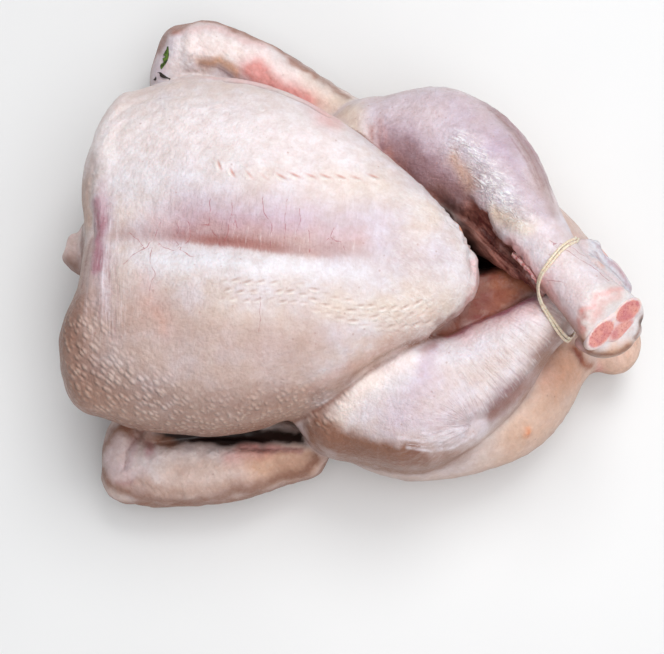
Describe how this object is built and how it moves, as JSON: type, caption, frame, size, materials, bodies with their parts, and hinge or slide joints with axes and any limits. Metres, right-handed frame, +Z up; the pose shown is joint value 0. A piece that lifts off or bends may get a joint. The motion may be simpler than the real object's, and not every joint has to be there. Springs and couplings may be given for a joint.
{
  "type": "dressed soup chicken",
  "caption": "Whole raw dressed soup chicken on its back, plucked skin, folded wings, crossed legs held at the hocks by an elastic band.",
  "frame": {"origin": "centre of the bounding box on the surface that the bird rests on", "axes": "+X from the neck to the tail, +Y towards the bird's left side, +Z up from the back to the breast"},
  "size_m": [0.2823, 0.243, 0.112],
  "materials": {
    "skin": "moist, pale pink and lilac, with follicle bumps",
    "bone": "moist cut bone and cartilage",
    "band": "cream elastic, satin"
  },
  "bodies": {
    "root": {"chicken": "skin", "tibia_left": "bone", "tibia_right": "bone", "leg_band": "band"}
  },
  "joints": []
}
